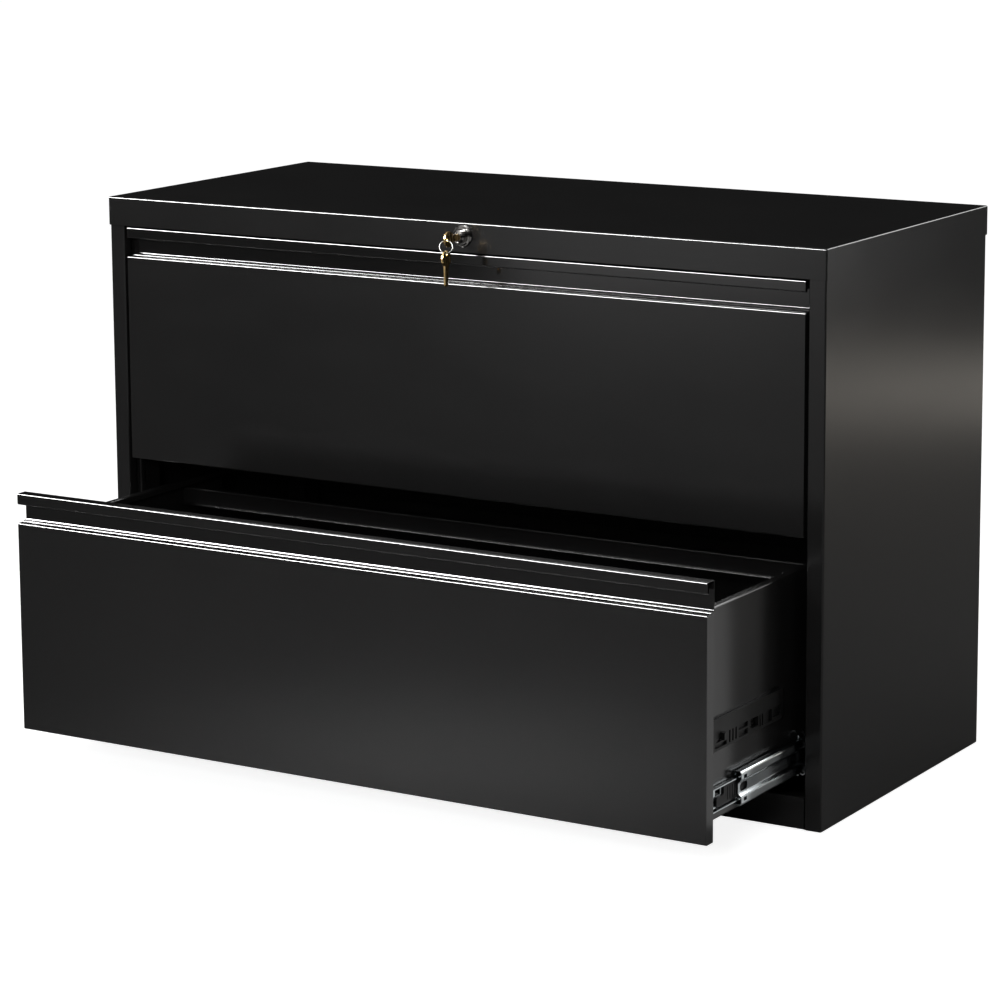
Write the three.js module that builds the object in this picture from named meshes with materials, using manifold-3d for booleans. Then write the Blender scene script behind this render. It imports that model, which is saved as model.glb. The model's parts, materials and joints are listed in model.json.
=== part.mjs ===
// Two-drawer lateral filing cabinet in bent sheet steel, with telescopic ball slides and a push lock.
// Millimetres, +Z up, X across the front. Pieces are drawn in the carcass frame: X = 0 on the
// middle of the width, Y = 0 on the front plane and growing towards the back, Z = 0 on the floor.
import * as THREE from 'three';
import { mergeVertices } from 'three/addons/utils/BufferGeometryUtils.js';
import Module from 'manifold-3d';

const wasm = await Module();
wasm.setup();

// Carcass
const width = 1066.8;
const height = 720.7;
const capOverhang = 1.5;
const capFlange = 38;
const sheet = 1;
const seam = 0.3;
const bendRadius = 1.2;
const bendSteps = 3;
const standoff = 2;
const bodyHalf = width / 2 - capOverhang;
const bodyDepth = 470.1;
const stile = 23;
const stileReturn = 14;

// Drawer fronts
const frontGap = 4.5;
const reveal = 4.2;
const frontHeight = 314.5;
const frontDepth = 18;
const frontHalf = bodyHalf - stile - frontGap;
const lowerFrontBottom = 47.6;
const upperFrontBottom = lowerFrontBottom + frontHeight + reveal;
const lipHeight = 14.8;
const ledgeHeight = 275;
const ledgeStep = 9.5;
const ledgeRise = 4.5;

// Drawer boxes
const boxHalf = 490.1;
const boxFront = frontDepth + 1.6;
const boxBack = 430;
const boxFloor = 17;
const sideTop = 275;
const hangHeight = 264.5;
const hangSpacing = 311;

// The lower drawer stands part open, and its middle slide members follow it at this share.
const lowerOpen = 246.3;
const middleShare = 0.7;

// Slides: cabinet, middle and drawer members around one centre line
const slideHeight = 44.6;
const slideSheet = 1.4;
const cabinetWebFace = 504.1;
const drawerWebFace = boxHalf + 0.4;
const ballLine = 496.2;
const middleBallHeight = 17.1;
const cabinetBallHeight = 23.7;
const middleRace = 4.2;
const middleWebFace = 497.2;
const cabinetRace = 3.9;
const raceSteps = 8;
const slideFront = 20;
const cabinetMemberLength = 430;
const movingMemberLength = 400;

// Uprights
const uprightFace = 504.4;
const uprightDepth = 42;
const uprightTop = 668;
const frontUprightAt = 20;
const rearUprightAt = 405;
const slotPitch = 31.75;

// Lock
const lockX = 25;
const lockZ = 703;
const lockFace = -14;
const housingRadius = 10.4;
const plungerRadius = 8.4;
const plugRadius = 5.6;
const lockClear = 0.3;
const rodY = 62;
const rodZ = 681;
const rodRadius = 4;
const barFace = 507;
const barFront = 39;
const barWidth = 14;
const fingerHeight = 106;

// Keys
const bowRadius = 10;
const bowHole = 2.4;
const holeOffset = 6;
const neckLength = 10;
const bladeLength = 16;
const keyThickness = 2.2;
const ringRadius = 8.2;
const ringWire = 0.8;
const ringTurn = Math.PI * 31 / 180;
const ringLean = Math.PI * 27 / 180;
const ringSag = 1;

const footprintMiddle = (bodyDepth + capOverhang - lowerOpen) / 2;

// ---------------------------------------------------------------- finishes

const finishes = {
  paint: { color: 0x262524, roughness: 0.42, metalness: 0.1 },
  zinc: { color: 0xb9bfc1, roughness: 0.3, metalness: 0.95 },
  nickel: { color: 0xc9c6c0, roughness: 0.16, metalness: 1 },
  brass: { color: 0xb48a3c, roughness: 0.28, metalness: 1 },
  plastic: { color: 0x1b1c1c, roughness: 0.6, metalness: 0 },
  ballast: { color: 0x4a4a48, roughness: 0.75, metalness: 0.5 },
};

function piece(name, geometry, finish) {
  const mesh = new THREE.Mesh(geometry, new THREE.MeshStandardMaterial(finishes[finish]));
  mesh.name = name;
  return mesh;
}

// ---------------------------------------------------------------- solids

// Shared corners, no slivers of zero area, and faces that point out.
function closed(geometry) {
  const bare = geometry.clone();
  bare.deleteAttribute('normal');
  bare.deleteAttribute('uv');
  const merged = mergeVertices(bare, 1e-4);
  const place = merged.getAttribute('position');
  const corner = [0, 1, 2].map(() => new THREE.Vector3());
  const kept = [];
  let volume = 0;
  for (let i = 0; i < merged.index.count; i += 3) {
    const [a, b, c] = [0, 1, 2].map((k) => merged.index.getX(i + k));
    if (a === b || b === c || a === c) continue;
    [a, b, c].forEach((v, k) => corner[k].fromBufferAttribute(place, v));
    volume += corner[0].dot(corner[1].clone().cross(corner[2]));
    kept.push(a, b, c);
  }
  if (volume < 0) {
    for (let i = 0; i < kept.length; i += 3) [kept[i], kept[i + 1]] = [kept[i + 1], kept[i]];
  }
  merged.setIndex(kept);
  return merged;
}

function toSolid(geometry) {
  const whole = closed(geometry);
  return new wasm.Manifold(new wasm.Mesh({
    numProp: 3,
    vertProperties: new Float32Array(whole.getAttribute('position').array),
    triVerts: new Uint32Array(whole.index.array),
  }));
}

function toGeometry(solid) {
  const mesh = solid.getMesh();
  const geometry = new THREE.BufferGeometry();
  geometry.setAttribute('position', new THREE.BufferAttribute(mesh.vertProperties, 3));
  geometry.setIndex(new THREE.BufferAttribute(mesh.triVerts, 1));
  return geometry;
}

function join(...parts) {
  return toGeometry(parts.map(toSolid).reduce((all, part) => all.add(part)));
}

function cut(base, ...tools) {
  const removed = tools.map(toSolid).reduce((all, tool) => all.add(tool));
  return toGeometry(toSolid(base).subtract(removed));
}

function overlap(first, second) {
  return toGeometry(toSolid(first).intersect(toSolid(second)));
}

function mirrored(geometry) {
  return closed(geometry.clone().applyMatrix4(new THREE.Matrix4().makeScale(-1, 1, 1)));
}

// ---------------------------------------------------------------- extrusions and turnings

// A section drawn as (y, z), run along X.
function alongX(shape, from, to, curveSegments = 12) {
  const run = new THREE.ExtrudeGeometry(
    shape, { depth: to - from, bevelEnabled: false, curveSegments });
  const turn = new THREE.Matrix4().makeBasis(
    new THREE.Vector3(0, 1, 0), new THREE.Vector3(0, 0, 1), new THREE.Vector3(1, 0, 0));
  return run.applyMatrix4(turn).translate(from, 0, 0);
}

// A section drawn as (x, z), run along Y.
function alongY(shape, from, to) {
  const run = new THREE.ExtrudeGeometry(shape, { depth: to - from, bevelEnabled: false });
  return run.rotateX(Math.PI / 2).translate(0, to, 0);
}

// A section drawn as (x, y), run up Z.
function alongZ(shape, from, to) {
  const run = new THREE.ExtrudeGeometry(shape, { depth: to - from, bevelEnabled: false });
  return run.translate(0, 0, from);
}

function block(x, y, z) {
  return new THREE.BoxGeometry(x[1] - x[0], y[1] - y[0], z[1] - z[0])
    .translate((x[0] + x[1]) / 2, (y[0] + y[1]) / 2, (z[0] + z[1]) / 2);
}

// A profile of [radius, y] turned about an axis along Y.
function turnedY(profile, x, z, sides = 28) {
  const points = profile.map(([radius, y]) => new THREE.Vector2(radius, y));
  return new THREE.LatheGeometry(points, sides).translate(x, 0, z);
}

function discShape(a, b, radius) {
  return new THREE.Shape().absarc(a, b, radius, 0, Math.PI * 2);
}

// A slot with round ends, lying along the first axis.
function oblong(from, to, middle, radius) {
  return new THREE.Shape()
    .absarc(to - radius, middle, radius, -Math.PI / 2, Math.PI / 2)
    .absarc(from + radius, middle, radius, Math.PI / 2, Math.PI * 1.5);
}

function polygon(corners) {
  return new THREE.Shape(corners.map(([a, b]) => new THREE.Vector2(a, b)));
}

// ---------------------------------------------------------------- bent sheet

// The line that a sheet's outer face follows, with each corner rounded for its bend.
function roundedLine(corners, thickness, inner = bendRadius) {
  const points = corners.map(([a, b]) => new THREE.Vector2(a, b));
  const line = [points[0]];
  for (let i = 1; i < points.length - 1; i += 1) {
    const before = points[i].clone().sub(points[i - 1]);
    const after = points[i + 1].clone().sub(points[i]);
    const turn = Math.atan2(before.cross(after), before.dot(after));
    const slope = Math.tan(Math.abs(turn) / 2);
    const wanted = (turn > 0 ? inner + thickness : inner) * slope;
    const reach = Math.min(wanted, before.length() * 0.48, after.length() * 0.48);
    const heading = before.normalize();
    const start = points[i].clone().addScaledVector(heading, -reach);
    const side = new THREE.Vector2(-heading.y, heading.x).multiplyScalar(Math.sign(turn));
    const centre = start.clone().addScaledVector(side, reach / slope);
    const steps = Math.max(1, Math.round(Math.abs(turn) / (Math.PI / 2) * bendSteps));
    for (let k = 0; k <= steps; k += 1) {
      line.push(start.clone().rotateAround(centre, turn * k / steps));
    }
  }
  line.push(points[points.length - 1]);
  return line;
}

// A closed section: the line itself, and its copy one thickness to the left.
function sheetAlong(line, thickness) {
  const last = line.length - 1;
  const back = line.map((point, i) => {
    const into = point.clone().sub(line[Math.max(i - 1, 0)]).normalize();
    const out = line[Math.min(i + 1, last)].clone().sub(point).normalize();
    if (i === 0) into.copy(out);
    if (i === last) out.copy(into);
    const normal = new THREE.Vector2(-into.y - out.y, into.x + out.x).normalize();
    const lean = thickness / normal.dot(new THREE.Vector2(-into.y, into.x));
    return point.clone().addScaledVector(normal, lean);
  });
  return new THREE.Shape([...line, ...back.reverse()]);
}

function bentSheet(corners, thickness = sheet, inner = bendRadius) {
  return sheetAlong(roundedLine(corners, thickness, inner), thickness);
}

// A rectangle with its two upper corners rounded.
function domed(a, b, radius) {
  return new THREE.Shape()
    .moveTo(a[0], b[0]).lineTo(a[1], b[0]).lineTo(a[1], b[1] - radius)
    .absarc(a[1] - radius, b[1] - radius, radius, 0, Math.PI / 2)
    .lineTo(a[0] + radius, b[1])
    .absarc(a[0] + radius, b[1] - radius, radius, Math.PI / 2, Math.PI);
}

// A tray pressed from one sheet and standing upside down, rounded along all four top edges.
function pan(x, y, z, radius) {
  const cover = (inset, low, roundness) => {
    const high = z[1] - inset;
    const across = alongX(
      domed([y[0] + inset, y[1] - inset], [low, high], roundness), x[0] + inset, x[1] - inset);
    const deep = alongY(
      domed([x[0] + inset, x[1] - inset], [low, high], roundness), y[0] + inset, y[1] - inset);
    return overlap(across, deep);
  };
  return cut(cover(0, z[0], radius + sheet), cover(sheet, z[0] - sheet, radius));
}

// ---------------------------------------------------------------- carcass

function topCap() {
  const shell = pan(
    [-width / 2, width / 2], [-capOverhang, bodyDepth + capOverhang],
    [height - capFlange, height], bendRadius);
  const lockHole = alongY(discShape(lockX, lockZ, housingRadius + lockClear), -5, 5);
  return piece('top_cap', cut(shell, lockHole), 'paint');
}

function sidePanel(side, name) {
  const inner = bodyHalf - stile;
  const section = bentSheet([
    [inner, stileReturn], [inner, 0], [bodyHalf, 0],
    [bodyHalf, bodyDepth], [bodyHalf - 22, bodyDepth],
  ]);
  const right = alongZ(section, standoff, height - sheet - seam);
  return piece(name, side > 0 ? right : mirrored(right), 'paint');
}

function backPanel() {
  const face = bodyDepth - sheet - seam;
  const swage = (z) => [[face, z - 15], [face - 3, z - 11], [face - 3, z + 11], [face, z + 15]];
  const section = bentSheet([
    [face - 14, 24.6], [face, 24.6],
    ...swage(250), ...swage(480),
    [face, 716], [face - 14, 716],
  ]);
  const half = bodyHalf - sheet - 0.9;
  return piece('back_panel', alongX(section, -half, half), 'paint');
}

function basePan() {
  const half = bodyHalf - sheet - 0.9;
  const back = bodyDepth - sheet - 0.9;
  return piece('base_pan', pan([-half, half], [21.3, back], [standoff, 24], bendRadius), 'paint');
}

function baseFrontRail() {
  const top = lowerFrontBottom - reveal;
  const section = bentSheet([[17.5, top], [0, top], [0, standoff], [20, standoff]]);
  const half = bodyHalf - stile - 0.4;
  return piece('base_front_rail', alongX(section, -half, half), 'paint');
}

// The rail behind the cap's front flange, with two ears that carry the lock rod.
function topFrontRail() {
  const low = height - capFlange + seam;
  const top = height - sheet - 1.1;
  const half = bodyHalf - stile - 0.4;
  const rail = alongX(bentSheet([[30, top], [seam, top], [seam, low], [17.5, low]]), -half, half);
  const ear = new THREE.Shape()
    .moveTo(0.8, 688).lineTo(40, 688).lineTo(54, rodZ - 8).lineTo(rodY + 8, rodZ - 8)
    .lineTo(rodY + 8, rodZ + 10).lineTo(29, top - 0.4).lineTo(0.8, top - 0.4);
  ear.holes.push(new THREE.Path().absarc(rodY, rodZ, rodRadius + lockClear, 0, Math.PI * 2));
  const ears = [60, 440].map((x) => alongX(ear, x, x + 1.5));
  const lockHole = alongY(discShape(lockX, lockZ, housingRadius + lockClear), -3, 3);
  return piece('top_front_rail', cut(join(rail, ...ears), lockHole), 'paint');
}

// A channel with a column of hook slots. The front right one also has the windows that the
// interlock bar's fingers reach through.
function upright(side, at, name, windows = []) {
  const back = at + uprightDepth;
  const flange = bodyHalf - sheet - 0.4;
  const section = bentSheet(
    [[flange, back], [uprightFace, back], [uprightFace, at], [flange, at]], 1.2);
  const channel = alongZ(section, 24 + seam, uprightTop);
  const web = [uprightFace - 1, uprightFace + 2.5];
  const slots = [];
  for (let z = 44; z < uprightTop - 20; z += slotPitch) {
    slots.push(block(web, [at + 6.5, at + 10.5], [z, z + 15]));
  }
  const openings = windows.map((z) => block(web, [barFront + 2, barFront + 12], [z - 4, z + 18]));
  const right = cut(channel, ...slots, ...openings);
  return piece(name, side > 0 ? right : mirrored(right), 'paint');
}

function counterweight() {
  const section = new THREE.Shape()
    .moveTo(300, 24.3).lineTo(450, 24.3).lineTo(450, 41).lineTo(446, 45)
    .lineTo(304, 45).lineTo(300, 41);
  const slab = alongX(section, -480, 480);
  const bolts = [-420, 420].map((x) => alongZ(discShape(x, 375, 5), 20, 50));
  return piece('counterweight', cut(slab, ...bolts), 'ballast');
}

function levellingGlide(x, y, name) {
  const profile = [[0, 0], [13.5, 0], [15, 1.5], [15, 4], [7, 7.5], [4, 7.5], [4, 22.6], [0, 22.6]];
  const foot = new THREE.LatheGeometry(profile.map(([r, z]) => new THREE.Vector2(r, z)), 18);
  return piece(name, closed(foot.rotateX(Math.PI / 2).translate(x, y, 0)), 'plastic');
}

// ---------------------------------------------------------------- telescopic slides

// Both ends of a member's section follow the same curve, one above and one below the centre.
function mirroredUp(upperHalf) {
  const lower = upperHalf.map((point) => new THREE.Vector2(point.x, -point.y)).reverse();
  return [...lower, ...upperHalf];
}

function raceArc(centreHeight, radius, from, to) {
  const arc = [];
  for (let k = 0; k <= raceSteps; k += 1) {
    const angle = THREE.MathUtils.degToRad(from + (to - from) * k / raceSteps);
    arc.push(new THREE.Vector2(
      ballLine + radius * Math.cos(angle), centreHeight + radius * Math.sin(angle)));
  }
  return arc;
}

// The outer member: its web lies on the uprights, and each flange is rolled over a row of balls.
function cabinetMemberSection() {
  const shoulder = cabinetBallHeight + 1.5;
  const rise = THREE.MathUtils.radToDeg(Math.asin(1.5 / cabinetRace));
  const bend = roundedLine(
    [[cabinetWebFace, shoulder - 6], [cabinetWebFace, shoulder], [ballLine + 4, shoulder]],
    slideSheet).slice(1, -1);
  const race = raceArc(cabinetBallHeight, cabinetRace, rise, 180 - rise);
  const tip = new THREE.Vector2(ballLine - cabinetRace - 0.1, shoulder - 0.8);
  return sheetAlong(mirroredUp([...bend, ...race, tip]), slideSheet);
}

// The middle member: its web steps in between two hooks. The inner balls run inside the hooks,
// and the outer ones along their backs.
function middleMemberSection() {
  const outer = cabinetWebFace - slideSheet - 0.8;
  const lip = drawerWebFace + 0.9;
  const top = middleBallHeight + middleRace;
  const hook = roundedLine([
    [middleWebFace, 0], [middleWebFace, 6.4], [outer, 10.2], [outer, top], [lip, top], [lip, 15.6],
  ], slideSheet, 1.8).slice(1);
  return sheetAlong(mirroredUp(hook), slideSheet);
}

// The inner member: a plain channel with its web on the drawer's side.
function drawerMemberSection() {
  const half = 14.3;
  const tip = ballLine + 1.6;
  return bentSheet([
    [tip, half], [drawerWebFace, half], [drawerWebFace, -half], [tip, -half],
  ], slideSheet);
}

function cabinetMember() {
  const long = alongY(cabinetMemberSection(), slideFront, slideFront + cabinetMemberLength);
  const web = [cabinetWebFace - slideSheet - 1, cabinetWebFace + 1];
  const slots = [36, 210, 400].map((y) => block(web, [y, y + 14], [-3, 3]));
  return cut(long, ...slots);
}

// Behind the nose, an oblong hole gives access to the screws, and two notches in the outer walls
// keep the ball cages from running out.
function middleMember() {
  const long = alongY(middleMemberSection(), slideFront, slideFront + movingMemberLength);
  const across = [middleWebFace - slideSheet - 0.3, cabinetWebFace];
  const access = [4.5, 236, 372].map((at) => alongX(
    oblong(slideFront + at, slideFront + at + 19.5, 0, 5.3), ...across, 4));
  const notches = [-1, 1].map((end) => block(
    across, [slideFront + 6, slideFront + 14], [end * 13.7 - 2.2, end * 13.7 + 2.2]));
  return cut(long, ...access, ...notches);
}

// The nose is closed by a return, and behind it come the bayonet hole for the drawer's hook and
// a window with a lanced spring tongue.
function drawerMember() {
  const from = boxFront + 0.4;
  const long = alongY(drawerMemberSection(), from, from + movingMemberLength);
  const across = [drawerWebFace - 1, drawerWebFace + 3];
  const noseReturn = block(
    [drawerWebFace + 0.5, drawerWebFace + 4.4], [from, from + slideSheet], [-13.6, 13.6]);
  const tongue = alongZ(polygon([
    [drawerWebFace, from + 37], [drawerWebFace + 3.6, from + 33.4],
    [drawerWebFace + 4.4, from + 34.6], [drawerWebFace + 1.2, from + 38.6],
    [drawerWebFace, from + 40],
  ]), 3, 10.5);
  const windows = [
    block(across, [from + 25, from + 39], [2, 12]),
    alongX(discShape(from + 18, -4.5, 3.4), ...across, 8),
    block(across, [from + 18, from + 27], [-6.2, -2.8]),
    block(across, [from + 190, from + 206], [-3, 3]),
    block(across, [from + 370, from + 386], [-3, 3]),
  ];
  return join(cut(join(long, noseReturn), ...windows), tongue);
}

// ---------------------------------------------------------------- drawers

// One bent sheet: bottom return, face, stepped ledge, recess wall, top, and the lip that hangs
// in front of the fingers' hollow. The recess is open at both ends.
function drawerFront() {
  const wall = frontDepth - sheet;
  const lipBottom = frontHeight - lipHeight;
  const section = bentSheet([
    [wall, 0], [0, 0], [0, ledgeHeight], [ledgeStep - 0.8, ledgeHeight + 0.2],
    [ledgeStep + 0.8, ledgeHeight + 2.2], [wall - 1.7, ledgeHeight + 2.4],
    [wall, ledgeHeight + ledgeRise], [wall, frontHeight - sheet],
    [sheet, frontHeight - sheet], [sheet, lipBottom + sheet], [5, lipBottom + sheet],
    [5, lipBottom + 7],
  ].reverse());
  const face = alongX(section, -frontHalf, frontHalf);
  const ends = [[-frontHalf, -frontHalf + sheet], [frontHalf - sheet, frontHalf]]
    .map((x) => block(x, [0.4, wall], [0.4, ledgeHeight - 1]));
  return join(face, ...ends);
}

function drawerInnerFront() {
  const face = frontDepth + seam + sheet;
  const section = bentSheet([[8, 1.6], [face, 1.6], [face, frontHeight - 2.5]]);
  return alongX(section, -boxHalf + 1.3, boxHalf - 1.3);
}

// A side with its top flange hemmed, and a lower flange that carries the floor.
function drawerSide() {
  const section = bentSheet([
    [boxHalf - 16, boxFloor], [boxHalf, boxFloor], [boxHalf, sideTop],
    [boxHalf - 11, sideTop], [boxHalf - 11, sideTop - 8],
  ]);
  return alongY(section, boxFront, boxBack);
}

// The floor lies on the sides' lower flanges, stiffened by ribs pressed across it.
function drawerBottom() {
  const low = boxFloor + sheet + seam;
  const rib = (y) => [[y - 16, low], [y - 11, low + 5], [y + 11, low + 5], [y + 16, low]];
  const section = bentSheet([
    [boxFront + 0.4, low], ...rib(110), ...rib(224), ...rib(338), [boxBack - 2.6, low],
  ]);
  return alongX(section, -boxHalf + 2.1, boxHalf - 2.1);
}

function drawerBack() {
  const face = boxBack - sheet;
  const section = bentSheet([[face, boxFloor], [face, 245], [face - 12, 245], [face - 12, 238]]);
  const plate = alongX(section, -boxHalf + 1.3, boxHalf - 1.3);
  const notches = [-1, 1].map((side) => block(
    [side * boxHalf - 17, side * boxHalf + 17], [face - 3, face + 1], [boxFloor - 1, boxFloor + 2]));
  return cut(plate, ...notches);
}

// A rail with a folded-over top edge for the hooks of hanging folders.
function hangRail(isRear) {
  const low = hangHeight - 24;
  const corners = [
    [3, hangHeight - 4], [3, hangHeight], [0, hangHeight], [0, low], [6, low],
  ];
  const at = 26;
  const placed = isRear
    ? corners.map(([y, z]) => [at + hangSpacing + 3 - y, z]).reverse()
    : corners.map(([y, z]) => [at + y, z]);
  return alongX(bentSheet(placed, sheet, 0.6), -boxHalf + 1.3, boxHalf - 1.3);
}

// The moulded strip on the drawer's right side that works the interlock: a plain upper band and
// nose, and below the band pockets with ribs between them, one catch window, and a lug in front.
function interlockStrip() {
  const front = boxFront + 4;
  const long = 190;
  const low = 102.6;
  const high = 37;
  const bottom = boxHalf + 2.2;
  const face = boxHalf + 5.3;
  const outline = polygon([
    [0, -3], [10, -3], [13, 0], [long - 4, 0], [long, 4], [long, high], [0, high],
  ]);
  const pocket = (from, to, lower = 3, upper = 18) => block([bottom, face + 1], [from, to], [lower, upper]);
  const nose = alongX(polygon([[15.5, 10], [44, 10], [44, 18], [34, 18]]), bottom, face + 1);
  const ribs = [50, 58, 66].map((from) => pocket(from, from + 3.6));
  const catchWindow = block([boxHalf, face + 1], [103, 125], [6, 18]);
  const pockets = [
    pocket(14.5, 44, 3, 8), pocket(75, 98, 12), pocket(75, 98, 3, 9.6), pocket(128.5, 131.2),
    pocket(134.5, 137.5), pocket(144, 161), pocket(164, 185, 6),
  ];
  const strip = alongX(outline, boxHalf + seam, face);
  const lug = block([bottom - 1, face + 5], [29.5, 35], [11.4, 20.4]);
  return join(cut(strip, nose, ...ribs, catchWindow, ...pockets), lug).translate(0, front, low);
}

function drawer(prefix, frontBottom) {
  const parts = {
    front: [drawerFront(), 'paint'],
    inner_front: [drawerInnerFront(), 'paint'],
    left_side: [mirrored(drawerSide()), 'paint'],
    right_side: [drawerSide(), 'paint'],
    bottom: [drawerBottom(), 'paint'],
    back: [drawerBack(), 'paint'],
    front_hang_rail: [hangRail(false), 'paint'],
    rear_hang_rail: [hangRail(true), 'paint'],
    interlock_strip: [interlockStrip(), 'plastic'],
  };
  const group = new THREE.Group();
  Object.entries(parts).forEach(([name, [geometry, finish]]) => {
    group.add(piece(`${prefix}_drawer_${name}`, geometry, finish));
  });
  const runners = { left: mirrored(drawerMember()), right: drawerMember() };
  Object.entries(runners).forEach(([side, geometry]) => {
    const runner = piece(`${prefix}_${side}_slide_drawer_member`, geometry, 'zinc');
    runner.position.z = slideHeight;
    group.add(runner);
  });
  group.position.z = frontBottom;
  return group;
}

// The four slides: cabinet members fixed to the uprights, middle members run out with the drawer.
function slides(prefix, frontBottom, middleOut) {
  const group = new THREE.Group();
  ['left', 'right'].forEach((side) => {
    const face = side === 'left' ? mirrored : (geometry) => geometry;
    const fixed = piece(`${prefix}_${side}_slide_cabinet_member`, face(cabinetMember()), 'zinc');
    const middle = piece(`${prefix}_${side}_slide_middle_member`, face(middleMember()), 'zinc');
    middle.position.y = -middleOut;
    group.add(fixed, middle);
  });
  group.position.z = frontBottom + slideHeight;
  return group;
}

// ---------------------------------------------------------------- lock and interlock

function lockHousing() {
  const bore = plungerRadius + lockClear;
  const profile = [
    [bore, -5.4], [10.2, -5.4], [11.6, -4.4], [12.8, -4.4], [14, -3.2], [14, -1.8],
    [housingRadius, -1.8], [housingRadius, 22], [bore, 22], [bore, -5.4],
  ];
  return piece('lock_housing', closed(turnedY(profile, lockX, lockZ, 32)), 'nickel');
}

// The plunger slides in the housing, and its square tail pushes the rod's lever.
function lockPlunger() {
  const bore = plugRadius + lockClear;
  const profile = [
    [0, 6], [bore, 6], [bore, lockFace + 0.6], [plungerRadius - 1.6, lockFace],
    [plungerRadius, lockFace + 1.6], [plungerRadius, 24], [0, 24],
  ];
  const barrel = turnedY(profile, lockX, lockZ, 32);
  const tail = block([lockX - 3, lockX + 3], [23, rodY - 3.2], [lockZ - 3, lockZ + 3]);
  return piece('lock_plunger', join(barrel, tail), 'nickel');
}

function lockPlug() {
  const profile = [
    [0, lockFace - 0.4], [plugRadius - 0.6, lockFace - 0.4], [plugRadius, lockFace + 0.2],
    [plugRadius, 5], [0, 5],
  ];
  const barrel = turnedY(profile, lockX, lockZ, 24);
  const slot = block(
    [lockX - keyThickness / 2 - 0.3, lockX + keyThickness / 2 + 0.3], [lockFace - 2, 1.5],
    [lockZ - 4.2, lockZ + 4.2]);
  return piece('lock_plug', cut(barrel, slot), 'nickel');
}

// A flat key seen from the side: round bow with its hole, straight neck, and a cut blade.
function keyShape() {
  const neck = bowRadius + neckLength;
  const tip = neck + bladeLength;
  const join = Math.asin(4 / bowRadius);
  const outline = new THREE.Shape()
    .absarc(0, 0, bowRadius, join, Math.PI * 2 - join)
    .lineTo(neck, -4).lineTo(neck, -3.7).lineTo(tip - 3, -3.7).lineTo(tip, -1)
    .lineTo(tip - 1.5, 1.6).lineTo(tip - 4, 3).lineTo(tip - 6, 1.2).lineTo(tip - 8, 2.8)
    .lineTo(tip - 10, 1.6).lineTo(tip - 12, 3.4).lineTo(neck + 3, 2).lineTo(neck + 1.2, 3.7)
    .lineTo(neck, 3.7).lineTo(neck, 4);
  outline.holes.push(new THREE.Path().absarc(-holeOffset, 0, bowHole, 0, Math.PI * 2));
  return outline;
}

function lockKey() {
  const blank = alongX(keyShape(), lockX - keyThickness / 2, lockX + keyThickness / 2);
  const shoulder = lockFace - 0.8;
  return piece(
    'lock_key', blank.translate(0, shoulder - bowRadius - neckLength, lockZ), 'brass');
}

const keyHoleY = lockFace - 0.8 - bowRadius - neckLength - holeOffset;

// The ring hangs askew on the key: turned about the upright, and leaning out by ringLean.
function keyRing() {
  const wire = new THREE.TorusGeometry(ringRadius, ringWire, 8, 28);
  wire.rotateX(Math.PI / 2).rotateX(-ringLean).rotateZ(ringTurn);
  const middle = ringDown(ringRadius);
  wire.translate(middle.x, middle.y, middle.z);
  return piece('key_ring', closed(wire), 'nickel');
}

// The point this far down the ring's leaning diameter, from where it bears in the key's hole.
function ringDown(distance) {
  const out = distance * Math.sin(ringLean);
  return new THREE.Vector3(
    lockX + out * Math.sin(ringTurn), keyHoleY - out * Math.cos(ringTurn),
    lockZ - ringSag - distance * Math.cos(ringLean));
}

function spareKey() {
  const blank = alongX(keyShape(), -keyThickness / 2, keyThickness / 2);
  const hole = ringDown(2 * ringRadius);
  blank.rotateX(-Math.PI / 2).translate(hole.x, hole.y, hole.z - ringSag - holeOffset);
  return piece('spare_key', blank, 'brass');
}

// Turned by the plunger's tail at one end, the rod lifts the interlock bar at the other.
function lockRod() {
  const rod = alongX(discShape(rodY, rodZ, rodRadius), lockX - 8, 500);
  const pushed = block([lockX - 4, lockX + 4], [rodY - 2, rodY + 2], [rodZ, lockZ + 3]);
  const arm = block([496, 500], [rodY - 18.5, rodY], [rodZ - 2.5, rodZ + 2.5]);
  const pin = alongX(discShape(rodY - 16, rodZ, 1.5), 499, 511);
  return piece('lock_rod', join(rod, pushed, arm, pin), 'zinc');
}

function interlockBar() {
  const low = lowerFrontBottom + fingerHeight;
  const strip = block([barFace, barFace + 2], [barFront, barFront + barWidth], [low - 30, 700]);
  const slot = block(
    [barFace - 1, barFace + 3], [rodY - 16 - 3.5, rodY - 16 + 4.5], [rodZ - 2.4, rodZ + 2.4]);
  const fingers = [lowerFrontBottom, upperFrontBottom].map((bottom) => block(
    [boxHalf + 6.3, barFace + 1], [barFront + 4, barFront + 10],
    [bottom + fingerHeight, bottom + fingerHeight + 6]));
  return piece('interlock_bar', cut(join(strip, ...fingers), slot), 'zinc');
}

// ---------------------------------------------------------------- assembly

function carcass() {
  const group = new THREE.Group();
  const fingerLevels = [lowerFrontBottom, upperFrontBottom].map((z) => z + fingerHeight);
  group.add(
    topCap(),
    sidePanel(-1, 'left_side_panel'),
    sidePanel(1, 'right_side_panel'),
    backPanel(),
    basePan(),
    baseFrontRail(),
    topFrontRail(),
    upright(-1, frontUprightAt, 'front_left_upright'),
    upright(1, frontUprightAt, 'front_right_upright', fingerLevels),
    upright(-1, rearUprightAt, 'rear_left_upright'),
    upright(1, rearUprightAt, 'rear_right_upright'),
    counterweight(),
  );
  [['front', 45], ['rear', 440]].forEach(([row, y]) => {
    [['left', -500], ['right', 500]].forEach(([side, x]) => {
      group.add(levellingGlide(x, y, `${row}_${side}_levelling_glide`));
    });
  });
  return group;
}

function lockWorks() {
  const group = new THREE.Group();
  group.add(
    lockHousing(), lockPlunger(), lockPlug(), lockKey(), keyRing(), spareKey(),
    lockRod(), interlockBar());
  return group;
}

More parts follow.
